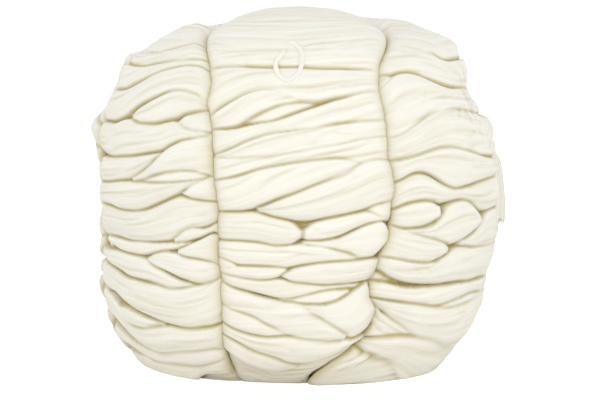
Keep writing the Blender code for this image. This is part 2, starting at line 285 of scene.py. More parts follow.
def combed_fibres():
    """Node group: long fine streaks along a strand, as a height and as painted shade in the low streaks,
    added to the painted shade of the creases.
    """
    group = bpy.data.node_groups.new("combed_fibres", "ShaderNodeTree")
    for way, name, kind in (
        ("INPUT", "Strand", "Vector"), ("INPUT", "Lit", "Color"), ("INPUT", "Painted_shade_colour", "Color"),
        ("INPUT", "Painted_shade", "Float"), ("INPUT", "Seam", "Float"),
        ("OUTPUT", "Colour", "Color"), ("OUTPUT", "Height", "Float"),
    ):
        group.interface.new_socket(name, in_out=way, socket_type="NodeSocket" + kind)
    given = group.nodes.new("NodeGroupInput").outputs
    result = group.nodes.new("NodeGroupOutput")

    def streaks(stretch, detail, roughness):
        scaled = add_node(group, "VectorMath", {0: given["Strand"], 1: stretch}, operation="MULTIPLY")
        noise = {"Vector": scaled.outputs[0], "Scale": 1.0, "Detail": detail, "Roughness": roughness}
        return add_node(group, "TexNoise", noise).outputs["Fac"]

    def mixed(kind, factor, first, second):
        mix = add_node(group, "Mix", {"Factor": factor, "A": first, "B": second}, data_type=kind)
        return mix.outputs["Result"]

    # Streaks to the metre, along the strand and across it.
    fine = streaks((12, 620, 1), 4.0, 0.6)
    bundles = streaks((6, 150, 1), 3.0, 0.55)
    height = mixed("FLOAT", given["Seam"], mixed("FLOAT", 0.45, bundles, fine), 0.5)
    # Painted shade: the low streaks are tinted toward the painted shade colour, on top of the mask's painted
    # shade.
    shade = {"Value": height, "From Min": 0.35, "From Max": 0.65, "To Min": 0.15, "To Max": -0.04}
    shade = add_node(group, "MapRange", shade).outputs["Result"]
    mask = add_node(group, "Math", {0: given["Painted_shade"], 1: shade}, operation="ADD", use_clamp=True)
    colour = mixed("RGBA", mask.outputs[0], given["Lit"], given["Painted_shade_colour"])
    feed(group, result, {"Colour": colour, "Height": height})
    return group


COMBED_FIBRES = combed_fibres()
# The wool lit, and the colour of its painted shade, which creases, grooves and low streaks are tinted toward.
WOOL_LIT = (0.93, 0.912, 0.84)
WOOL_PAINTED_SHADE = (0.47, 0.39, 0.13)


def fibre_material(name, lit, deep, relief, roughness, soft, sheen):
    """A fibre finish: streaks along the strand's UV map, with shade painted into its colour, from the lit
    colour toward the deep one, in creases, grooves and low streaks.
    """
    material = bpy.data.materials.new(name)
    material.use_nodes = True
    tree = material.node_tree
    strand = add_node(tree, "UVMap", {}, uv_map="UVMap").outputs["UV"]
    given = {"Strand": strand, "Lit": (*lit, 1.0), "Painted_shade_colour": (*deep, 1.0)}
    for mask in ("Painted_shade", "Seam"):
        given[mask] = add_node(tree, "Attribute", {}, attribute_name=mask.lower()).outputs["Fac"]
    fibres = add_node(tree, "Group", given, node_tree=COMBED_FIBRES)
    bump = {"Strength": 1.0, "Distance": relief, "Height": fibres.outputs["Height"]}
    feed(tree, tree.nodes["Principled BSDF"], {
        "Normal": add_node(tree, "Bump", bump).outputs["Normal"],
        "Base Color": fibres.outputs["Colour"],
        "Roughness": roughness,
        "Specular IOR Level": 0.25,
        "Subsurface Weight": soft,
        "Subsurface Radius": (1.0, 0.8, 0.55),
        "Subsurface Scale": 0.004,
        "Sheen Weight": sheen,
        "Sheen Roughness": 0.6,
    })
    return material


WOOL = fibre_material("combed_wool", WOOL_LIT, WOOL_PAINTED_SHADE, 0.0016, 0.85, 0.30, 0.08)


def set_painted_shade_or_seam(mesh, values, name="painted_shade"):
    """The mask of painted shade, darker in creases, grooves and under the lobes, or the one that calms the
    fibres at a seam.
    """
    attribute = mesh.attributes.new(name, "FLOAT", "POINT")
    attribute.data.foreach_set("value", plain_floats(values))


# The wisp: a thin curl of loose fibres that has come away from the sliver and lies on top of the
# front lobe. It is the same combed wool, lightly twisted, held by nothing but its own fuzz.
WISP_THICKNESS, WISP_GIRTH = 0.005, 0.0157
WISP_LOBE = 0
WISP_SMOOTHING = 4
WISP_SIDES, WISP_RINGS = 20, 90
WISP_SUNK, WISP_TAPER = 0.0016, 0.06
# Azimuth in degrees, tape and height above the wool in millimetres.
WISP_POINTS = (
    (-3.5, 150, 0.8), (-0.9, 152, 1.0), (1.3, 161, 1.2), (1.1, 172, 1.2), (-0.4, 180, 1.2),
    (-3.0, 184, 1.2), (-5.6, 179, 1.2), (-6.6, 170, 1.0), (-5.2, 163, 0.8), (-3.9, 157, 0.6),
)


def smooth_route(points, between):
    """A smooth curve through the points, with this many steps between each two."""
    padded = [2 * points[0] - points[1], *points, 2 * points[-1] - points[-2]]
    route = []
    for before, start, end, after in zip(padded, padded[1:], padded[2:], padded[3:]):
        for step in range(between):
            part = step / between
            route.append(
                start
                + 0.5 * part * (end - before)
                + part**2 * (before - 2.5 * start + 2 * end - 0.5 * after)
                + 0.5 * part**3 * (3 * (start - end) + after - before)
            )
    return np.array(route + [points[-1]])


def along_route(route, closed, along, around, radius):
    """Points of a tube round a route; radius holds each point's distance from it."""
    ahead = np.roll(route, -1, axis=0) - np.roll(route, 1, axis=0)
    if not closed:
        ahead[0] = route[1] - route[0]
        ahead[-1] = route[-1] - route[-2]
    ahead /= np.linalg.norm(ahead, axis=1, keepdims=True)
    outward = route - np.array([WINDING_AXIS[0], WINDING_AXIS[1], CORE_MIDDLE])
    outward -= np.sum(outward * ahead, axis=1, keepdims=True) * ahead
    outward /= np.linalg.norm(outward, axis=1, keepdims=True)
    side = np.cross(ahead, outward)
    last = len(route) - (0 if closed else 1)
    step = along * last
    whole = np.floor(step).astype(int)
    part = (step - whole)[:, None]

    def at(values):
        return values[whole % len(route)] * (1 - part) + values[(whole + 1) % len(route)] * part

    turn = (around * 2 * math.pi)[:, None]
    reach = np.asarray(radius)[:, None]
    return at(route) + reach * (np.cos(turn) * at(outward) + np.sin(turn) * at(side))


wisp_lift = WISP_THICKNESS / 2
wisp_points = [
    over_core(WISP_LOBE, math.radians(azimuth), tape * MM, WISP_SUNK, clear * MM + wisp_lift)
    for azimuth, tape, clear in WISP_POINTS
]
wisp_route = smooth_route(wisp_points, WISP_SMOOTHING)
wisp_length = float(np.linalg.norm(np.diff(wisp_route, axis=0), axis=1).sum())
blank, along, around = sphere_blank("wisp_blank", WISP_SIDES, WISP_RINGS)
taper = np.clip(np.minimum(along, 1 - along) / WISP_TAPER, 0, 1) ** 0.5
plies = 1 - 0.06 * np.abs(np.sin(1.5 * around * 2 * math.pi + 12 * along))
points = along_route(wisp_route, False, along, around, wisp_lift * taper * plies)
wisp = drawn_out(blank, "wisp_part", points, wisp_length, WISP_GIRTH, 3.1)
set_painted_shade_or_seam(wisp.data, np.zeros(len(along)))
bpy.data.objects.remove(blank)
wisp = joined([wisp], "wisp_curl", WOOL)
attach(wisp, "root")
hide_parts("wisp")

# The ties: three closed loops of undyed cotton string, three plies laid together, that go round
# the bump over its top and underside. Each lies at the bottom of two grooves and draws them in.
TIES = (
    ("tie_front_left", 0, 3, 0),
    ("tie_front_right", 1, 4, 1),
    ("tie_side", 5, 2, 2),
)
TIE_THICKNESS, TIE_GIRTH = 0.0035, 0.011
TIE_GAP = 0.0008
TIE_STEPS = 56
TIE_CROSSING_REACH = 0.026
TIE_PLIES = 3
TIE_LAY = 0.013
TIE_RINGS, TIE_SIDES = 640, 12
# The string's own colour, and the colour of the painted shade between its plies.
STRING = fibre_material("tie_string", (0.86, 0.81, 0.68), (0.62, 0.52, 0.34), 0.0004, 0.8, 0.0, 0.05)


def tie_route(up_groove, down_groove, order):
    """Round the bump: up one groove from the underside, over the top and down the other."""
    tapes = np.linspace(0.0, TAPE_LENGTH, TIE_STEPS, endpoint=False)
    points = []
    for groove, run in ((up_groove, TAPE_LENGTH - tapes), (down_groove, tapes)):
        radius, height, normal_r, normal_z = core_at(run)
        near = np.clip(1 - radius / TIE_CROSSING_REACH, 0, 1)
        blend = near * near * (3 - 2 * near)
        lift = TIE_THICKNESS / 2 + TIE_GAP + order * (TIE_THICKNESS + TIE_GAP) * np.minimum(1, 1.6 * blend)
        points.append(place(groove_azimuth(groove, run), radius + lift * normal_r, height + lift * normal_z))
    return np.concatenate(points)


bpy.ops.mesh.primitive_torus_add(
    major_segments=TIE_RINGS, minor_segments=TIE_SIDES, major_radius=1.0, minor_radius=0.2,
)
blank = bpy.context.object
bpy.ops.object.shade_smooth()
x, y, z = coordinates(blank.data).T
along = np.round((np.arctan2(y, x) / (2 * math.pi) % 1) * TIE_RINGS) / TIE_RINGS % 1
around = np.round((np.arctan2(z, np.hypot(x, y) - 1) / (2 * math.pi) % 1) * TIE_SIDES) / TIE_SIDES
for name, up_groove, down_groove, order in TIES:
    route = tie_route(up_groove, down_groove, order)
    length = float(np.linalg.norm(np.diff(np.vstack([route, route[:1]]), axis=0), axis=1).sum())
    lay = round(length / TIE_LAY / TIE_PLIES) * TIE_PLIES
    ply = np.abs(np.cos(0.5 * TIE_PLIES * (around * 2 * math.pi) + math.pi * lay * along))
    radius = TIE_THICKNESS / 2 * (0.80 + 0.24 * ply)
    tie = along_route(route, True, along, around, radius)
    tie = drawn_out(blank, name + "_part", tie, length, TIE_GIRTH, order)
    # Painted shade between the plies.
    set_painted_shade_or_seam(tie.data, 0.8 * (1 - ply))
    tie = joined([tie], name + "_string", STRING)
    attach(tie, "root")
    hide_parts(name)
bpy.data.objects.remove(blank)

# The lobes: flat folded turns of the combed top, each one laid a little over the next and tucked
# in at the grooves. A row is one turn's lower edge: its tape in millimetres at three places across
# the lobe, then how deep its crease is, 1 for a full one.


def rows_of(text):
    """Rows of numbers, with commas between the rows."""
    return [[float(word) for word in row.split()] for row in text.split(",")]


EDGES_FRONT = rows_of("""
40 38 40 0, 80 78 80 0, 120 118 114 .05, 156 156 148 .1, 173 174 175 .9, 213 199 192 .7, 225 209 216 .6,
240 230 222 .2, 259 252 240 .2, 290 279 256 1, 298 302 293 1.2, 327 326 341 1.1, 349 346 349 .9,
363 365 367 .9, 374 382 384 1, 410 413 418 1.2, 428 438 430 1, 476 486 480 .5, 548 550 548 .3
""")
EDGES_RIGHT = rows_of("""
38 38 40 0, 78 78 82 .1, 116 116 124 .1, 150 156 168 .1, 172 178 191 .6, 199 198 208 .5, 222 211 221 .6,
239 236 241 .4, 253 260 263 .4, 262 283 276 1, 294 298 306 .9, 318 316 315 .9, 324 343 343 1.1,
350 361 362 .9, 371 382 380 1.1, 391 399 400 .8, 422 434 436 1.1, 444 456 468 .6, 540 545 550 .3
""")
EDGES_LEFT = rows_of("""
40 38 40 0, 80 78 80 .1, 124 120 116 .1, 162 156 146 .3, 184 170 165 .6, 206 193 190 .9, 219 219 211 1,
252 245 227 .8, 282 270 258 .5, 307 296 273 1.2, 315 305 288 .8, 350 347 328 1.2, 360 363 358 .8,
371 379 375 1, 393 398 390 .6, 413 416 411 1.2, 436 438 431 .9, 462 466 464 .6, 545 545 545 .3
""")


def turned_round(edges):
    """The same turns as seen from the other side of the bump."""
    return tuple((right, middle, left, depth) for left, middle, right, depth in edges)


# Each lobe's name, its turns' edges and the three places across it.
LOBES = (
    ("front", EDGES_FRONT, (0.15, 0.50, 0.85)),
    ("right", EDGES_RIGHT, (0.10, 0.27, 0.48)),
    ("back_right", turned_round(EDGES_LEFT), (0.15, 0.50, 0.85)),
    ("back", turned_round(EDGES_FRONT), (0.15, 0.50, 0.85)),
    ("back_left", turned_round(EDGES_RIGHT), (0.30, 0.60, 0.90)),
    ("left", EDGES_LEFT, (0.15, 0.50, 0.85)),
)
# The turns that can be told apart at the front are given one by one instead. Each is how deep the
# crease is along its upper edge and along its lower one, then how far it stands out in millimetres
# and how much its fibres twist, and then stops along it: where the camera sees its upper edge, as x
# and y in a view of 600 by 402, and how high it is there. The back repeats them the other way.
FRONT_TURNS = """
0 .1 .6 .1 0 0, .3 .4 .6 .8 .5 .6 1 .7 .2, 0 .2,
214 51 19, 230 50 19, 250 49 17, 270 50 18, 300 48 22, 330 47 23, 350 47 22, 365 48 22, 378 51 20

.2 .3 .5 .3 .6 .6 .3, .5 .35 .2 .05 .05 .1, 1 .3,
215 71 48, 235 68 38, 255 67 27, 280 69 26, 310 70 28, 340 70 25, 360 70 23, 376 71 21

.3 .2 .1, .4 1 .8 .6 .5 .6 .9 .3, 2 .3,
216 118 11, 235 106 21, 250 95 24, 265 91 20, 280 91 14, 300 92 9, 320 93 5, 345 92 2

.6 .5 .4 .3 .6 .2, .25, 0 .3,
222 128 6, 250 119 6, 270 109 12, 285 104 11, 300 101 9, 320 98 6, 335 96 5

.1 .3 .4 .5 .8 .2 .2 .1, .5 .35 .4 .35 .1 .6 .5 .1, 1 .3,
216 131 25, 235 130 18, 255 125 14, 275 121 13, 290 116 15, 312 109 19, 330 103 22, 345 99 25,
360 94 26, 380 93 25

.4 .3 .3 .3 .1 .4 .3 .1, .2 .4 .45 .2 .1 .35 .2 .1, 0 .3,
217 155 6, 235 148 11, 250 140 18, 270 135 22, 290 132 20, 310 129 20, 337 125 22, 350 123 20,
365 120 19, 382 119 18

.1 .2 .2 .1 .1 .1, .2 .5 .5 .1 .1 .1 .1 .4, 0 .4,
218 160 24, 235 159 22, 250 157 20, 265 157 14, 290 152 14, 310 149 14, 330 147 14, 350 143 18,
365 139 23, 383 138 23

.2 .3 .1 .1, .8 1.1 1.1 1 .8 .5 .3 .2, 3 .4,
221 184 29, 240 180 32, 262 172 36, 280 168 32, 300 165 28, 320 162 23, 340 161 15, 360 161 3, 370 161 1

.6 .8 .7 .5 .3 .3 .4, 1 1.1 1.1 1 .9, 3 .2,
262 209 3, 270 205 10, 285 199 20, 300 192 29, 310 188 33, 325 182 37, 340 175 41, 355 168 44,
365 163 45, 375 161 43, 390 162 39

.7, .7, -1 .1,
362 209 2, 370 206 9, 378 203 17, 388 200 22

.9, 1, 2 .1,
221 213 27, 240 213 27, 262 213 29, 275 217 29, 285 220 27, 292 223 23, 296 226 17, 301 231 6

.9, .8, 1 -.2,
302 231 7, 306 227 14, 312 223 19, 322 220 21, 335 218 20, 345 216 18, 352 214 16, 362 212 13, 372 217 4

.7, 1.1, 3 -.2,
304 242 3, 320 241 6, 335 239 10, 350 231 23, 360 225 33, 370 222 36, 378 224 31, 383 229 20, 386 236 6

.9, .6, 0 .2,
221 240 19, 240 240 26, 262 243 25, 280 247 22, 292 246 22, 300 244 22, 312 245 20, 330 248 15,
345 253 9, 357 257 4

.3, .4, 1 .2,
255 247 2, 265 246 6, 280 247 6, 300 245 10, 320 246 11, 340 251 7, 355 257 3

.5, .7, 1 0,
220 258 12, 228 259 14, 236 263 12, 242 267 7

.7, 1, 2 .1,
236 268 6, 241 267 10, 250 267 12, 262 268 12, 272 268 11, 280 268 9, 286 269 4

.9, 1, 2 .3,
284 274 3, 292 269 12, 300 267 16, 315 264 21, 330 263 22, 345 262 22, 357 261 21, 370 260 20

.3, .3, 3 .3,
300 268 5, 320 266 8, 340 266 10, 362 265 11

.6, .7, 0 .4,
222 272 10, 235 275 13, 250 279 12, 265 281 14, 280 279 20, 292 281 18, 305 283 13, 320 285 7,
340 285 4, 355 283 4

.4, .9, 0 .4,
280 297 3, 292 299 4, 305 295 10, 320 292 14, 333 290 14, 340 291 9, 346 290 4

.9, .5, 2 .9,
223 281 26, 240 290 22, 255 294 24, 270 299 28, 285 303 30, 300 305 32, 315 313 26, 330 325 15,
342 334 6

.4, 1, 2 .9,
226 305 17, 240 311 20, 255 317 18, 270 325 12, 288 332 4

.8, .8, 3 .9,
290 303 4, 305 305 7, 320 306 13, 330 304 23, 340 300 35, 350 292 47, 360 285 49, 367 283 44, 373 296 18

.8, 1, 1 .2,
228 323 12, 240 331 12, 252 335 15, 262 337 17, 275 337 22, 290 337 28, 300 338 29, 312 339 27,
325 340 22, 340 341 12, 350 340 6, 357 338 3

.8, .8, 0 .1,
228 335 17, 240 343 19, 252 350 18, 265 355 17, 280 362 12, 294 367 4
"""
LEFT_TURNS = """
0 .2 .7 .1 0, .3, 0 .3,
122 66 26, 130 66 22, 140 66 15, 150 64 12, 165 61 9, 180 60 7, 195 60 8, 213 62 13

.25, 1 1 .8 .4 .3, 2 .3,
112 92 30, 120 91 29, 130 88 26, 140 82 25, 150 76 24, 160 72 23, 172 69 22, 185 67 25, 200 69 29,
213 76 31

.8 .7 .3 .3, .6 .8 1.1 .8, 1 .3,
131 114 4, 140 107 15, 150 100 23, 160 95 26, 170 91 28, 180 91 25, 190 94 19, 200 98 13, 210 105 4

.9, .8, 0 .2,
100 120 30, 112 122 36, 125 118 39, 140 122 33, 155 122 31, 165 120 29, 175 121 22, 183 127 13,
190 132 6

.7, .9, 1 0,
176 120 5, 183 116 13, 195 112 21, 205 110 22, 217 108 23

.7, .4, 3 .2,
133 177 4, 145 170 9, 155 160 14, 165 149 22, 180 141 29, 195 138 33, 207 137 36, 218 133 41

.8, .8, 1 .1,
103 158 27, 115 158 26, 125 157 26, 135 156 24, 145 155 16, 153 154 9, 160 152 4

.4, .4, 1 .2,
135 180 4, 150 176 8, 165 171 13, 180 170 12, 195 171 9, 209 173 3

.4, 1.1, 2 .2,
103 185 18, 113 184 22, 123 183 28, 140 183 29, 150 184 23, 160 184 17, 170 183 13, 180 182 8,
190 180 5, 202 177 3

.8, .7, 1 .2,
180 190 5, 188 186 12, 197 182 18, 207 177 25, 219 174 29

.9, .9, 1 .1,
106 204 30, 118 209 28, 130 212 29, 145 209 34, 160 202 41, 175 195 45, 185 197 34, 195 200 29,
205 201 26, 213 202 20, 221 203 16

.6, .9, 0 0,
172 238 6, 182 230 13, 190 228 12, 198 229 8, 206 227 6, 213 224 6

.6, .9, 0 0,
206 226 4, 213 222 12, 221 219 18

.6, 1, 0 .2,
108 235 7, 118 238 11, 128 241 12, 140 242 13, 152 243 11, 165 243 8, 175 243 6, 188 242 2

.9, .6, 2 .1,
176 249 5, 184 246 11, 195 241 18, 207 235 27, 216 236 28, 222 238 25

.6, 1, 2 .2,
147 257 3, 155 254 13, 165 252 21, 175 254 25, 187 258 25, 200 260 25, 212 262 19, 224 265 7

.8, 1, 0 .2,
107 250 10, 118 251 20, 128 254 24, 140 257 25, 150 261 23, 162 271 16, 172 278 12, 183 283 7, 195 285 3

.8, 1, 1 .2,
105 262 24, 115 270 24, 125 278 27, 135 281 31, 148 285 33, 160 287 37, 172 290 37, 185 290 39,
200 286 43, 213 280 47, 226 273 49

.6, .7, 0 .1,
127 309 14, 135 313 15, 145 318 12, 155 323 5, 162 325 2

.8, .5, 1 .1,
112 292 20, 125 309 21, 135 326 15, 145 329 19, 155 329 22, 170 328 24, 190 330 22, 205 329 21,
217 327 23, 228 325 26

.6, .6, 0 .1,
128 334 10, 142 347 8, 152 350 11, 165 352 13, 180 352 15, 195 352 16, 208 349 17, 220 349 12, 231 350 7

.6, .5, 0 0,
148 359 10, 160 364 9, 180 367 8, 200 367 8, 218 361 14, 234 356 18
"""
RIGHT_TURNS = """
0, .3 .9 .2 .05 0 0, 0 .1,
382 48 26, 395 48 27, 405 48 26, 420 50 24, 436 56 23, 450 64 22

.5, .3, 1 .2,
376 74 22, 384 75 22, 392 75 13, 400 75 4

.3 .6 .1 .05 0, .7 .5 .4 .2 .1, 1 .2,
377 95 43, 386 96 43, 392 87 50, 400 77 57, 415 74 54, 425 75 46, 435 79 36, 444 85 24, 453 90 19,
463 91 21

.1, .2, -.5 .2,
410 98 6, 416 91 20, 425 88 24, 436 89 19, 444 95 6

.5 .4 .3 .1 .05, .2 .15 .05 .05 .1 .2, 0 .1,
383 140 22, 392 138 26, 402 134 28, 412 130 29, 422 124 31, 432 117 34, 442 111 38, 454 107 43,
468 110 43, 482 116 42

.2 .1 .05 .1, .5 .5 .8 1.3 1.3 .5 .1, 2 .1,
385 162 23, 394 163 20, 404 162 16, 413 159 13, 421 156 13, 430 153 20, 440 150 29, 450 150 38,
462 152 36, 472 155 30, 485 159 20, 497 160 15

.9 .9 .4 .1, .7 .7 .6 .1, 0 .1,
391 186 28, 400 181 27, 410 175 30, 420 170 33, 430 173 28, 440 180 24, 449 188 14, 458 189 10,
466 188 13, 474 185 21, 486 180 30

.7, 1, 1 .1,
388 216 4, 395 211 13, 405 207 22, 415 204 26, 425 202 27, 433 202 24, 441 206 13

.8, 1, 2 .2,
410 229 3, 420 229 5, 430 227 11, 437 221 20, 443 211 33, 450 205 40, 458 202 41, 466 202 38,
473 206 28, 481 217 4

.6 .2, .6 .2, 0 0,
462 240 5, 472 234 13, 480 222 25, 487 212 34, 494 210 34

.9, .7, 1 .1,
386 222 34, 395 226 31, 405 230 30, 415 232 31, 425 235 29, 435 239 23, 443 243 15, 449 247 6

.8, .4, 2 .1,
384 257 7, 397 259 10, 410 262 9, 425 264 6, 437 262 6, 448 256 9

.5, 1.2, 1 .1,
376 259 3, 385 262 6, 393 266 9, 403 268 12, 415 269 14, 425 268 15, 437 265 20, 447 252 32, 458 249 34,
468 248 33, 478 247 32, 488 246 29

.9, .8, 0 .2,
370 283 13, 378 281 18, 388 282 18, 398 286 16, 410 289 15, 420 289 18, 430 288 20, 440 287 20,
450 285 18, 460 284 15, 470 282 11, 483 278 10

.4, .4, 1 .2,
440 306 3, 450 302 6, 460 298 8, 470 293 9, 481 289 8

.9, .8, 2 .4,
374 299 6, 385 300 13, 397 303 17, 410 304 25, 422 307 30, 435 308 32, 450 307 33, 462 304 32,
472 300 29, 479 296 20

.4, .5, 0 .5,
374 306 8, 385 313 9, 397 320 9, 410 328 8, 420 335 4

.4, .6, 0 .5,
372 312 9, 380 319 10, 390 324 10, 402 330 7, 414 335 4

.6, .9, 0 .1,
359 334 4, 370 323 15, 380 329 8, 392 334 4, 404 336 3

.8, .9, 1 .1,
359 338 3, 368 338 10, 378 338 17, 390 338 22, 402 339 24, 415 340 23, 428 341 20, 440 342 15,
450 341 9, 461 337 5

.8, .7, 0 .3,
350 346 20, 360 343 29, 370 350 25, 382 357 18, 395 361 14, 408 363 11, 420 363 7, 432 361 5, 444 355 4

.6, .6, 0 .3,
320 363 5, 330 357 17, 340 351 26, 350 347 29, 361 352 23
"""
TRACED = {0: FRONT_TURNS, 1: RIGHT_TURNS, 5: LEFT_TURNS}
REPEATED = {2: 5, 3: 0, 4: 1}
VIEW_WIDTH, VIEW_HEIGHT = 600, 402
# A traced turn ends at a groove's wall from this near to it, or where its end is this blunt.
WALL_SHARE, BLUNT_END = 0.12, 8
# Sides and rings of each lobe's sphere: more where its turns are told apart. Most of the sides are
# on its face, some up each wall and the rest under it, and the rings lie closer where more is seen.
LOBE_SIDES = (160, 184, 120, 120, 120, 160)
LOBE_RINGS = (600, 520, 380, 380, 380, 560)
WALL_STEPS = 3
OUTER_SHARE = 0.92
SPREAD_TAPES = (0.0, 0.055, 0.500, 0.560, 1.0)
SPREAD_WEIGHTS = (0.35, 1.0, 1.0, 0.4, 0.4)
# A turn's cross-section: its creases, its upper and lower shoulders, its slope past its edges, how
# far it overlaps and blends into the next one, and how far a narrow one is tucked in.
CREASE_DEPTH, LEAST_DEPTH = 0.0125, 0.0008
SQUARENESS_ABOVE, SQUARENESS_BELOW = 3.0, 2.1
STEEP = 1.6
OVERLAP = 1.10
JOIN = 0.0009
TUCK, TUCK_BELOW = 0.006, 0.008
LEAST_HALF, LAID_REACH = 0.0006, 0.009
# How far the even turns lie under the traced ones, and where.
UNDERLAY = -0.008
UNDERLAY_TAPES = (0.0, 0.156, 0.174, 0.455, 0.485, 1.0)
UNDERLAY_SHARE = (0.0, 0.0, 1.0, 1.0, 0.0, 0.0)
# The unevenness along a turn, coarse to fine: the length, width and depth of each kind.
WAVE_LENGTH, WAVE_WIDTH, WAVE_DEPTH = 0.045, 0.03, 0.0012
BUNDLE_LENGTH, BUNDLE_WIDTH, BUNDLE_DEPTH = 0.075, 0.0055, 0.0008
THREAD_LENGTH, THREAD_WIDTH, THREAD_DEPTH = 0.040, 0.0021, 0.0004
# Over the top the bundles are combed flatter, down to these tapes.
COMBED_TAPES, COMBED_SHARES = (0.140, 0.170), (0.45, 1.0)
# Painted shade in the wool's colour, where shade would fall: lower than the cells around it, deep down, and
# near a groove's wall.
PAINTED_SHADE_CELLS = 3
PAINTED_SHADE_DEPTH, DEEP_PAINTED_SHADE, WALL_SHADE = 0.0012, 0.016, 0.0042
# How far a lobe's side reaches over the groove, more where it stands out, and how ragged it is.
REACH, REACH_GAIN = 0.0048, 0.12
REACH_ENDS = (-0.002, GROOVE_ROOM + 0.0005)
RAGGED_LENGTH, RAGGED_DEPTH = 0.017, 0.0006
LIFT = 0.0015
# Where a groove gapes: which groove, its tape, how far along it and how wide in millimetres.
GAPES = ((1, 302, 16, 1.8), (1, 384, 12, 1.6))
# Where the wool is matted: azimuth, tape, how far round and down, and how lumpy in millimetres,
# and then the size of its bends, its lumps and its crumbs, and the rise that takes away all painted shade.
MATTED = ((66, 215, 12, 34, 1.5), (82, 190, 10, 34, 1.3))
MAT_BEND, MAT_LUMPS, MAT_CRUMBS, MAT_PAINTED_SHADE = 0.02, (0.015, 0.012), (0.007, 0.008), 0.004
random = np.random.default_rng(11)
LATTICE = random.uniform(-1, 1, (64, 256))
EVEN = np.linspace(0, 1, 201)


def run_of(places, values, at):
    """A smooth run through values given at places from 0 to 1."""
    return np.interp(at, EVEN, softened(np.interp(EVEN, places, values), 9))


def noise(along, over):
    """Smooth noise of two coordinates, about -1 to 1, a new value at every whole number."""
    row, column = np.floor(along).astype(int), np.floor(over).astype(int)
    part, share = along - row, over - column
    part, share = part * part * (3 - 2 * part), share * share * (3 - 2 * share)
    values = [LATTICE[(row + down) % 64, (column + right) % 256] for down in (0, 1) for right in (0, 1)]
    upper = values[0] * (1 - share) + values[1] * share
    lower = values[2] * (1 - share) + values[3] * share
    return upper * (1 - part) + lower * part


def edge_tapes(lobe, across):
    """Tape of every turn's edge at this place across the lobe, with both ends of the tape."""
    _, edges, places = LOBES[lobe]
    inner = [np.interp(across, places, row[:3]) * MM for row in edges]
    return np.array([0.0] + inner + [TAPE_LENGTH])


def turns_of(lobe):
    """The turns of a lobe, from its top to its underside."""
    _, edges, places = LOBES[lobe]
    after = (lobe + 1) % len(LOBES)
    first = (edge_tapes(lobe - 1, 1.0) + edge_tapes(lobe, 0.0)) / 2
    last = (edge_tapes(lobe, 1.0) + edge_tapes(after, 0.0)) / 2
    given = [edge_tapes(lobe, at) for at in places]
    stops = (0.0, *places, 1.0)
    rows = [run_of(stops, values, EVEN) for values in np.array([first, *given, last]).T]
    depths = [0.0] + [0.05 + 0.85 * row[3] for row in edges] + [0.0]
    return [
        (0.0, 1.0, rows[turn], rows[turn + 1], 0.6 * depths[turn] + 0 * EVEN, depths[turn + 1] + 0 * EVEN,
         random.uniform(-0.001, 0.0015), random.uniform(-0.5, 0.5), True)
        for turn in range(len(rows) - 1)
    ]


def sight_of(lobe):
    """What tells how far across the lobe, and at which tape, the camera sees a place of its view."""
    tapes = np.linspace(0.03, TAPE_LENGTH - 0.05, 541)
    across, tape = np.meshgrid(EVEN, tapes, indexing="ij")
    azimuth = across_lobe(lobe, across, tape)
    radius, height, normal_r, normal_z = core_at(tape)
    out = swell_of(lobe, azimuth, tape, normal_z)
    points = place(azimuth, radius + out * normal_r, height + out * normal_z)
    local = (points - np.array(camera_place)) @ np.array(camera.rotation_euler.to_matrix())
    scale = CAMERA_LENS / CAMERA_FILM * VIEW_WIDTH
    view_x = VIEW_WIDTH / 2 - scale * local[..., 0] / local[..., 2]
    view_y = VIEW_HEIGHT / 2 + scale * local[..., 1] / local[..., 2]
    hidden = np.gradient(view_y, axis=1) <= 0

    def seen_at(x, y):
        off = np.where(hidden, 1e9, (view_x - x) ** 2 + (view_y - y) ** 2)
        across, tape = np.unravel_index(np.argmin(off), off.shape)
        return EVEN[across], tapes[tape]

    return seen_at


def traced_turns(lobe):
    """The turns of a lobe that are given one by one."""
    seen_at = sight_of(lobe)
    turns = []
    for turn in TRACED[lobe].split("\n\n"):
        crease_above, crease_below, (rise, twist), *stops = rows_of(turn)
        above = np.array([seen_at(x, y) for x, y, _ in stops])
        below = np.array([seen_at(x, y + high) for x, y, high in stops])
        runs = np.array([np.maximum.accumulate((above[:, 0] + below[:, 0]) / 2), above[:, 1], below[:, 1]])
        runs[0, 0] = 0.0 if runs[0, 0] < WALL_SHARE else runs[0, 0]
        runs[0, -1] = 1.0 if runs[0, -1] > 1 - WALL_SHARE else runs[0, -1]
        if 0 < runs[0, 0] < 0.5 and stops[0][2] >= BLUNT_END:
            runs = np.column_stack([(0.0, *runs[1:, 0]), runs])
        if 0.4 < runs[0, -1] < 1 and stops[-1][2] >= BLUNT_END:
            runs = np.column_stack([runs, (1.0, *runs[1:, -1])])
        middle, upper, lower = runs
        places = (middle - middle[0]) / (middle[-1] - middle[0])
        edges = [run_of(places, values, EVEN) for values in (upper, lower)]
        creases = [
            np.interp(EVEN, np.linspace(0, 1, len(depths)), depths) for depths in (crease_above, crease_below)
        ]
        turns.append((middle[0], middle[-1], *edges, *creases, rise * MM, twist, False))
    return turns


def turned_turns(turns):
    """The same turns laid from the other side."""
    return [
        (1 - end, 1 - begin, upper[::-1], lower[::-1], above[::-1], below[::-1], rise, -twist, under)
        for begin, end, upper, lower, above, below, rise, twist, under in turns
    ]


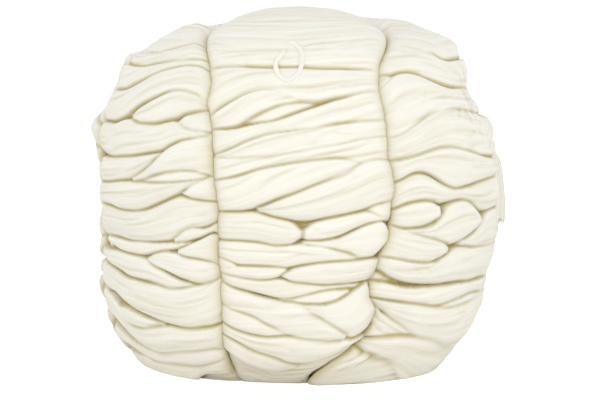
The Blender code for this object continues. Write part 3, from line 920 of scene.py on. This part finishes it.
def laid(turn, across, tape, width, offset):
    """Where a turn lies, its height over the even swell, and the run along and over its fibres."""
    begin, end, upper, lower, above, below, rise, twist, under = turn
    run = np.clip((across - begin) / (end - begin), 0, 1)
    top, bottom = np.interp(run, EVEN, upper), np.interp(run, EVEN, lower)
    half = np.maximum((bottom - top) / 2 * OVERLAP, LEAST_HALF)
    off = (tape - (top + bottom) / 2) / half
    beyond = np.maximum(np.abs(off) - 1, 0) * half
    past = np.maximum(np.maximum(begin - across, across - end), 0) * width
    near = beyond + past < LAID_REACH
    given = (across, tape, width, half, off, beyond, past, run)
    across, tape, width, half, off, beyond, past, run = [values[near] for values in given]
    girth = float(np.mean(lower - upper)) / 2
    along = across * width + offset
    over = off * girth + twist * 0.25 * (across * width - 0.08) + offset * 7.3
    depth = np.where(off < 0, np.interp(run, EVEN, above), np.interp(run, EVEN, below)) * CREASE_DEPTH
    depth = depth * (1 + 0.3 * noise(along / WAVE_WIDTH + 9, off * 0.4 + offset))
    depth = np.minimum(depth, 0.9 * half + LEAST_DEPTH)
    inside = np.minimum(np.abs(off), 1)
    squareness = np.where(off < 0, SQUARENESS_ABOVE, SQUARENESS_BELOW)
    section = 1 - (1 - inside**squareness) ** (1 / squareness)
    height = rise - TUCK * np.clip(1 - half / TUCK_BELOW, 0, 1) ** 1.5
    height = height - depth * section - STEEP * (beyond + past)
    if under:
        height = height + UNDERLAY * np.interp(tape, UNDERLAY_TAPES, UNDERLAY_SHARE)
    height = height + WAVE_DEPTH * noise(along / WAVE_LENGTH, over / WAVE_WIDTH)
    bundles = np.abs(noise(along / BUNDLE_LENGTH, over / BUNDLE_WIDTH))
    combed = np.interp(tape, COMBED_TAPES, COMBED_SHARES)
    height = height + BUNDLE_DEPTH * combed * (np.minimum(bundles * 2.2, 1) - 1)
    height = height + THREAD_DEPTH * noise(along / THREAD_LENGTH + 20, over / THREAD_WIDTH)
    return near, height, along, over


def smoothed(grid, cells):
    """A running mean over a grid, both ways."""
    for axis in (0, 1):
        grid = np.apply_along_axis(softened, axis, grid, cells)
    return grid


def lobe_form(lobe, turns, sides, rings):
    """A grid of points over a lobe and back under it, with the painted-shade mask and the fibres' runs."""
    even = np.linspace(0, 1, 2001)
    weight = np.cumsum(np.interp(even * TAPE_LENGTH, SPREAD_TAPES, SPREAD_WEIGHTS))
    weight = (weight - weight[0]) / (weight[-1] - weight[0])
    tape = np.interp(np.linspace(0, 1, rings + 1), weight, even) * TAPE_LENGTH
    outer = np.linspace(0, 1, round(sides * OUTER_SHARE) - 2 * WALL_STEPS)
    outer = 0.65 * outer + 0.35 * (0.5 - 0.5 * np.cos(math.pi * outer))
    tape, across = np.meshgrid(tape, outer, indexing="ij")
    start, end = lobe_azimuths(lobe, tape)
    width = (end - start) * np.maximum(core_at(tape)[0], 0.02)
    height = np.full(tape.shape, -0.02)
    along, over, owner, seam, matting = np.zeros((5, *tape.shape))
    for number, turn in enumerate(turns):
        near, rise, lengthwise, sideways = laid(turn, across, tape, width, number * 0.613)
        before = height[near]
        share = np.clip(0.5 + 0.5 * (rise - before) / JOIN, 0, 1)
        for grid, new in ((owner, number), (along, lengthwise), (over, sideways)):
            grid[near] = np.where(rise > before, new, grid[near])
        height[near] = before * (1 - share) + rise * share + JOIN * share * (1 - share)
    for axis in (0, 1):
        for step in (-1, 1):
            seam = np.maximum(seam, owner != np.roll(owner, step, axis=axis))
    # Painted shade: the wool's colour is darkened in creases lower than the cells around them, deep down, and
    # near a groove's wall.
    painted_shade = smoothed(np.clip((smoothed(height, PAINTED_SHADE_CELLS) - height) / PAINTED_SHADE_DEPTH, 0, 1), 1)
    deep = np.clip(-height / DEEP_PAINTED_SHADE, 0, 1) ** 1.5
    from_wall = np.minimum(across, 1 - across) * width
    painted_shade = np.clip(np.maximum(painted_shade + 0.25 * deep, 0.6 * np.exp(-from_wall / WALL_SHADE)), 0, 1)
    azimuth = across_lobe(lobe, across, tape)
    for at, at_tape, around, along_by, rise in MATTED:
        beside = (np.degrees(azimuth) - at) / around
        share = np.exp(-(beside**2) - ((tape / MM - at_tape) / along_by) ** 2)
        run = azimuth * CORE_RADIUS
        bent = 0.8 * noise(run / MAT_BEND, tape / MAT_BEND + 70)
        lumps = noise((run + 0.6 * tape) / MAT_LUMPS[0] + bent, (tape - 0.6 * run) / MAT_LUMPS[1] + bent)
        crumbs = noise((run - tape) / MAT_CRUMBS[0] + bent, (run + tape) / MAT_CRUMBS[1] + 40)
        lumps = np.abs(lumps) + 0.5 * np.abs(crumbs)
        matting = matting + share * rise * MM * (0.9 - 1.6 * np.minimum(lumps, 1))
    height = height + matting + LIFT
    reach = REACH_GAIN * height + REACH + RAGGED_DEPTH * noise(tape / RAGGED_LENGTH + lobe, across * 3.1)
    for groove, at_tape, along_by, opening in GAPES:
        side = {lobe: 1 - across, (lobe + 1) % len(LOBES): across}.get(groove, 0.0)
        reach = reach - side * opening * MM * np.exp(-(((tape / MM - at_tape) / along_by) ** 2))
    reach = np.clip(reach, *REACH_ENDS)
    points = over_core(lobe, across_lobe(lobe, across, tape, reach), tape, -height, 0.0, reach)
    # Painted shade is lessened on the matted lumps and deepened in their dips.
    painted_shade = np.clip(painted_shade - matting / MAT_PAINTED_SHADE, 0, 1)

    def on_core(share):
        """Points on the core, this far across under the lobe."""
        radius, level, _, _ = core_at(tape[:, :1])
        return place(across_lobe(lobe, share, tape[:, :1], deep=True), radius, np.maximum(level, 0.0))

    def wall(column, steps):
        """Columns of points from the core out to the lobe's first or last one."""
        share = (steps / WALL_STEPS)[None, :, None]
        return on_core(across[:, [column]]) * (1 - share) + points[:, [column]] * share

    steps = np.arange(WALL_STEPS)
    back = sides - points.shape[1] - 2 * WALL_STEPS
    under = on_core(np.linspace(1, 0, back + 2)[None, 1:-1])
    form = np.concatenate([wall(0, steps), points, wall(-1, steps[::-1]), under], axis=1)
    unseen = ((0, 0), (WALL_STEPS, WALL_STEPS + back))
    # The walls and the underside are given full painted shade.
    masks = [np.pad(mask, unseen, constant_values=1) for mask in (painted_shade, smoothed(seam, 1))]
    return form, *masks, *[np.pad(run, unseen, mode="edge") for run in (along, over)]


told_apart = {lobe: traced_turns(lobe) for lobe in TRACED}
for lobe, (side, _, _) in enumerate(LOBES):
    traced = told_apart[lobe] if lobe in TRACED else turned_turns(told_apart[REPEATED[lobe]])
    turns = turns_of(lobe) + traced
    sides, rings = LOBE_SIDES[lobe], LOBE_RINGS[lobe]
    blank, along, around = sphere_blank("lobe_blank", sides, rings)
    form, painted_shade, seam, lengthwise, sideways = lobe_form(lobe, turns, sides, rings)
    ring, column = np.round(along * rings).astype(int), np.round(around * sides).astype(int) % sides
    wool = drawn_out(blank, "lobe_part", form[ring, column], 1.0, 1.0, 0.0)
    loops = np.empty(len(wool.data.loops), dtype=np.int32)
    wool.data.loops.foreach_get("vertex_index", loops)
    runs = np.stack([lengthwise[ring, column], sideways[ring, column]], axis=1)[loops]
    wool.data.uv_layers[0].uv.foreach_set("vector", plain_floats(runs))
    set_painted_shade_or_seam(wool.data, painted_shade[ring, column])
    set_painted_shade_or_seam(wool.data, seam[ring, column], "seam")
    bpy.data.objects.remove(blank)
    wool = joined([wool], f"wool_{side}", WOOL)
    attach(wool, "root")
    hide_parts("wool_body")

# The heart: the inner turns of the bump, wound tight, which show only as the floor of a groove.
# It is the same wool, painted all over in its shade colour as painted shade in the grooves, and the turns of
# the lobes lie on it.
HEART_SIDES, HEART_RINGS = 96, 120
HEART_GIRTH = 1.2
HEART_BELOW = 0.001
blank, along, around = sphere_blank("heart_blank", HEART_SIDES, HEART_RINGS)
radius, height, normal_r, normal_z = core_at(along * TAPE_LENGTH)
height = np.maximum(height - HEART_BELOW * normal_z, HEART_BELOW)
points = place(around * 2 * math.pi, radius - HEART_BELOW * normal_r, height)
heart = drawn_out(blank, "heart_part", points, TAPE_LENGTH, HEART_GIRTH, 0.0)
# Full painted shade all over.
set_painted_shade_or_seam(heart.data, np.ones(len(points)))
heart = joined([heart], "wool_heart", WOOL)
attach(heart, "root")
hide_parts("wool_body")
bpy.data.objects.remove(blank)

# The loose end: the last length of the combed top, a thin flat strip that hangs down at the right
# with its fibres pulled apart at the end. It is held only by clinging to the turn that it lies on.
END_THICKNESS = 0.003
END_LENGTH, END_WIDTH = 0.078, 0.034
END_LOBE = 1
END_TUCK = 0.007
# Azimuth in degrees, then tape, height above the wool and width in millimetres.
END_POINTS = (
    (78, 254, -4.0, 28), (78, 262, 0.0, 32), (78, 280, 0.8, 34),
    (78, 300, 1.2, 34), (79, 316, 2.0, 33), (79, 332, 3.2, 30),
)
END_COLUMNS, END_ROWS = 26, 44
bpy.ops.mesh.primitive_grid_add(x_subdivisions=END_COLUMNS, y_subdivisions=END_ROWS, size=1.0)
blank = bpy.context.object
bpy.ops.object.shade_smooth()
side, down, _ = coordinates(blank.data).T
down = 0.5 - down
rows = np.linspace(0, 1, len(END_POINTS))
azimuth, tape, clear, width = [run_of(rows, values, down) for values in zip(*END_POINTS)]
frayed = 0.30 * (np.abs(np.sin(9 * side + 2)) + 0.5 * np.abs(np.sin(23 * side)))
tape = tape - frayed * np.clip((down - 0.60) / 0.40, 0, 1) * 22
ripple = 0.5 * np.abs(np.sin(side * 14 + 0.6 * np.sin(5 * down))) + 0.2 * np.sin(side * 41)
points = over_core(
    END_LOBE, np.radians(azimuth) + side * width * MM / CORE_RADIUS, tape * MM,
    0.0, LIFT + clear * MM + END_THICKNESS / 2 + ripple * MM * 0.6 - END_TUCK * np.abs(2 * side) ** 3,
)
strip = drawn_out(blank, "strip_part", points, END_LENGTH, END_WIDTH, 5.0)
# Painted shade in the troughs of the ripple.
set_painted_shade_or_seam(strip.data, 0.2 * (1 - ripple))
bpy.data.objects.remove(blank)
strip = joined([strip], "loose_end_strip", WOOL)
thickness = strip.modifiers.new("Thickness", "SOLIDIFY")
thickness.thickness = END_THICKNESS * 0.7
thickness.offset = 0.0
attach(strip, "root")
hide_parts("loose_end")

# The stray fibres: single wool hairs, some crimped, that stand off the turns all over and most of
# all on the right lobe, where the wool has been handled. Each is rooted in the turn it comes from.
STRAY_COUNT = 420
STRAY_THICKNESS = 0.00032
STRAY_SIDES, STRAY_RINGS, STRAY_STEPS = 3, 10, 9
STRAY_LENGTH, STRAY_GIRTH = 0.03, 0.001
# How many are on each lobe, of all.
STRAY_SHARES = (0.2, 0.3, 0.12, 0.12, 0.1, 0.16)
blank, along, around = sphere_blank("stray_blank", STRAY_SIDES, STRAY_RINGS)
hairs = []
for number in range(STRAY_COUNT):
    lobe = int(random.choice(len(LOBES), p=STRAY_SHARES))
    middle = random.uniform(0.06, 0.94)
    tape = random.uniform(0.08, 0.50)
    run = random.normal(0, 0.012, 2) + np.array([random.choice((-1, 1)) * 0.02, 0.0])
    step = np.linspace(0, 1, STRAY_STEPS)
    azimuths = across_lobe(lobe, middle, tape) + run[0] * step / CORE_RADIUS
    lift = (0.001 + 0.006 * random.uniform() ** 2) * np.sin(step * math.pi * random.uniform(0.55, 1.0))
    curl = 0.001 * np.sin(step * random.uniform(3, 9) + random.uniform(0, 6))
    route = over_core(lobe, azimuths, tape + run[1] * step + curl, 0.002, lift)
    radius = STRAY_THICKNESS / 2 * np.sqrt(np.clip(np.minimum(along, 1 - along) * 6, 0, 1))
    hair = along_route(route, False, along, around, radius)
    hair = drawn_out(blank, f"stray_{number}", hair, STRAY_LENGTH, STRAY_GIRTH, number * 0.01)
    set_painted_shade_or_seam(hair.data, np.zeros(len(along)))
    hairs.append(hair)
hairs = joined(hairs, "stray_fibres", WOOL)
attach(hairs, "root")
bpy.data.objects.remove(blank)

# The floor: a plain pale sheet, with the light all round of a white studio.
FLOOR_SIZE = 14.0
bpy.ops.mesh.primitive_plane_add(size=FLOOR_SIZE, location=(0, 0, 0))
floor = bpy.context.object
floor.name = "floor"
paper = bpy.data.materials.new("pale_paper")
paper.use_nodes = True
tree = paper.node_tree
seen = add_node(tree, "LightPath", {}).outputs["Is Camera Ray"]
feed(tree, tree.nodes["Principled BSDF"], {
    "Base Color": (0.88, 0.86, 0.82, 1),
    "Roughness": 0.9,
    "Specular IOR Level": 0.0,
    "Emission Color": (1, 1, 1, 1),
    "Emission Strength": add_node(tree, "Math", {0: seen, 1: 0.8}, operation="MULTIPLY").outputs[0],
})
floor.data.materials.append(paper)

# The studio: brighter low down than overhead, and even where the camera looks past the floor.
LIGHT_LOW, LIGHT_OVERHEAD, LIGHT_SEEN = 1.40, 0.50, 1.05
studio = bpy.data.worlds.new("studio")
studio.use_nodes = True
tree = studio.node_tree
upward = add_node(tree, "SeparateXYZ", {"Vector": add_node(tree, "TexCoord", {}).outputs["Generated"]})
dimmer = {"Value": upward.outputs["Z"], "To Min": LIGHT_LOW, "To Max": LIGHT_OVERHEAD}
dimmer = add_node(tree, "MapRange", dimmer).outputs["Result"]
seen = add_node(tree, "LightPath", {}).outputs["Is Camera Ray"]
strength = add_node(tree, "MapRange", {"Value": seen, "To Min": dimmer, "To Max": LIGHT_SEEN})
feed(tree, tree.nodes["Background"], {"Color": (1, 1, 1, 1), "Strength": strength.outputs["Result"]})
bpy.context.scene.world = studio
bpy.context.scene.view_settings.view_transform = "Standard"

# The key light: one broad soft lamp, high in front.
bpy.ops.object.light_add(type="AREA", location=(0.2, -2.4, 1.25))
key = bpy.context.object
key.data.shape = "RECTANGLE"
key.data.size, key.data.size_y = 3.6, 1.5
key.data.energy = 16.0
key.rotation_euler = (Vector((0, 0, 0.18)) - key.location).to_track_quat("-Z", "Y").to_euler()
